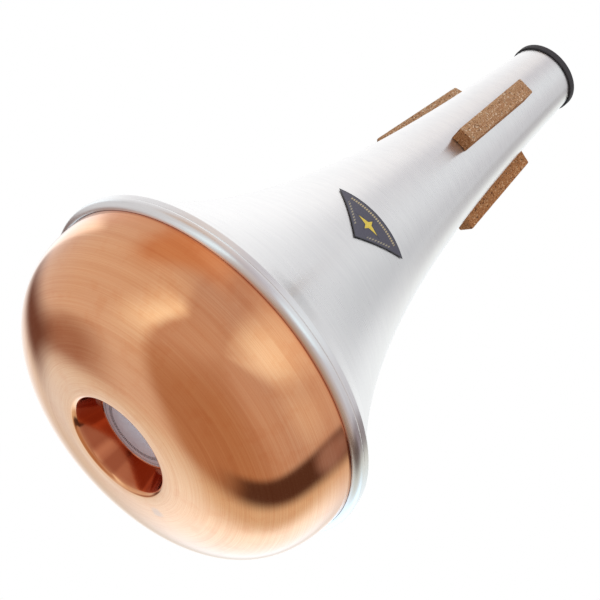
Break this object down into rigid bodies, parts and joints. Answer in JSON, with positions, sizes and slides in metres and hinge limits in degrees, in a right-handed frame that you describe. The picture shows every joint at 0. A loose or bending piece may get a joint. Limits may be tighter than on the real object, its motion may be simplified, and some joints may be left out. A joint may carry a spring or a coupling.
{
  "type": "bass trombone straight mute",
  "caption": "Straight mute for a bass trombone: flared spun aluminium cone, spun copper bottom with a round recess, cork strips on the neck and a rubber ring on the open small end.",
  "frame": {"origin": "centre of the flat foot ring of the copper bottom, the face that the mute stands on", "axes": "+Z along the mute's axis, from the copper bottom up to the open small end; +X towards the side that carries the label and the first cork strip, +Y a quarter turn on, so that the axes are right-handed"},
  "size_m": [0.152, 0.152, 0.272],
  "materials": {
    "spun_aluminium": "fine brushed satin, lacquered",
    "spun_copper": "polished over fine spinning lines",
    "cork": "raw agglomerated cork",
    "black_rubber": "matt",
    "silver_label": "satin foil",
    "slate_label": "printed foil, slightly glossy"
  },
  "bodies": {
    "root": {"body_shell": "spun_aluminium", "bottom_shell": "spun_copper", "cork_strip_1": "cork", "cork_strip_2": "cork", "cork_strip_3": "cork", "throat_ring": "black_rubber", "well_label": "silver_label", "side_label": "slate_label"}
  },
  "joints": []
}
